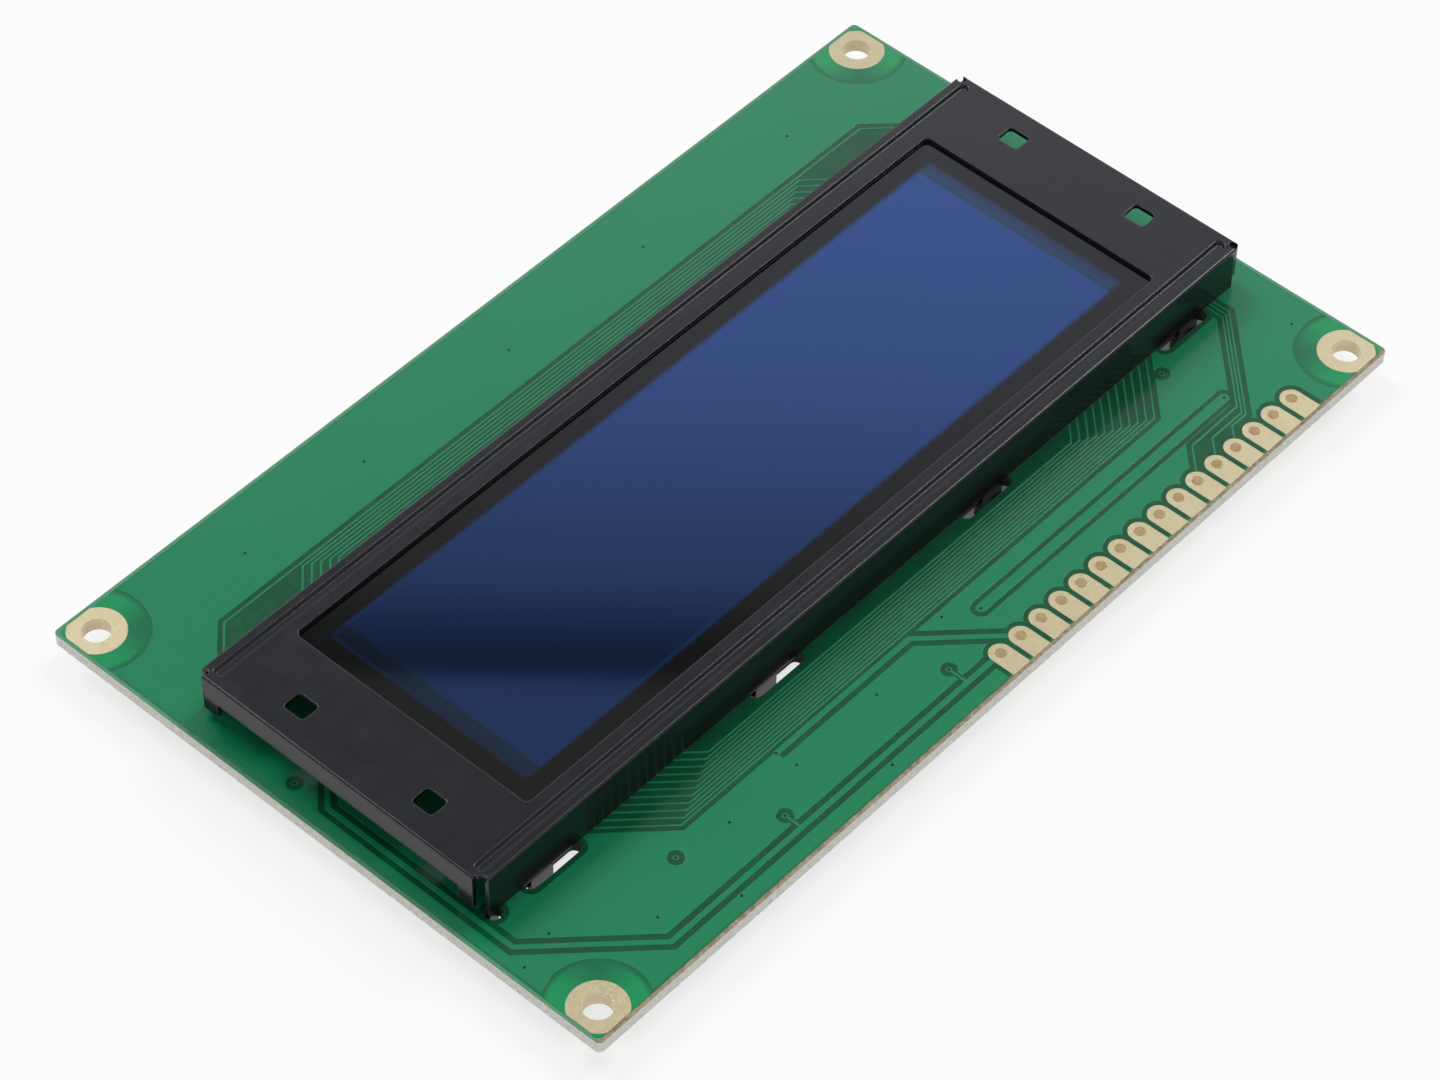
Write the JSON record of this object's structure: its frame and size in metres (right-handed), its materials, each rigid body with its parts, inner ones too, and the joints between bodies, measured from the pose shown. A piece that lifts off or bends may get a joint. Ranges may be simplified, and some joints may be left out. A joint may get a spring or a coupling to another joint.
{
  "type": "graphic display module",
  "caption": "Graphic OLED display module: green circuit board with a black steel bezel over a blue screen, gold solder pads along the top edge and a plated hole at each corner.",
  "frame": {"origin": "centre of the four mounting holes, on the front face of the board's laminate", "axes": "+X to the right as the screen is read with the solder pads along the top edge, +Y towards the pad edge, +Z out of the screen"},
  "size_m": [0.098, 0.06, 0.0077],
  "materials": {
    "laminate": "matte",
    "copper_foil": "satin",
    "solder_mask": "semi-gloss green",
    "gold_plate": "satin",
    "black_lacquer": "glossy black lacquer on steel",
    "polariser": "glossy",
    "panel_glass": "clear",
    "picture_layer": "blue, glossy",
    "seal_resin": "matte",
    "drying_paper": "matte",
    "contact_rubber": "matte",
    "holder_plastic": "matte",
    "silicon": "polished",
    "cover_resin": "semi-gloss",
    "resistor_ceramic": "matte",
    "capacitor_ceramic": "satin",
    "tin": "satin",
    "ferrite": "matte",
    "package_plastic": "matte"
  },
  "bodies": {
    "root": {"circuit_board": "laminate", "front_copper": "copper_foil", "back_copper": "copper_foil", "front_solder_mask": "solder_mask", "back_solder_mask": "solder_mask", "mounting_rings": "gold_plate", "header_pads": "gold_plate", "bezel": "black_lacquer", "polariser_film": "polariser", "front_glass": "panel_glass", "emitter_layers": "picture_layer", "panel_seal": "seal_resin", "rear_cap_glass": "panel_glass", "drying_sheet": "drying_paper", "upper_contact_strip": "contact_rubber", "lower_contact_strip": "contact_rubber", "panel_holder": "holder_plastic", "left_driver_die": "silicon", "right_driver_die": "silicon", "left_resin_cover": "cover_resin", "right_resin_cover": "cover_resin", "chip_resistors": "resistor_ceramic", "chip_capacitors": "capacitor_ceramic", "chip_end_caps": "tin", "boost_coil": "ferrite", "coil_core": "ferrite", "boost_converter": "package_plastic", "converter_leads": "tin", "rectifier_diode": "package_plastic", "diode_leads": "tin", "solder_joints": "tin"}
  },
  "joints": []
}
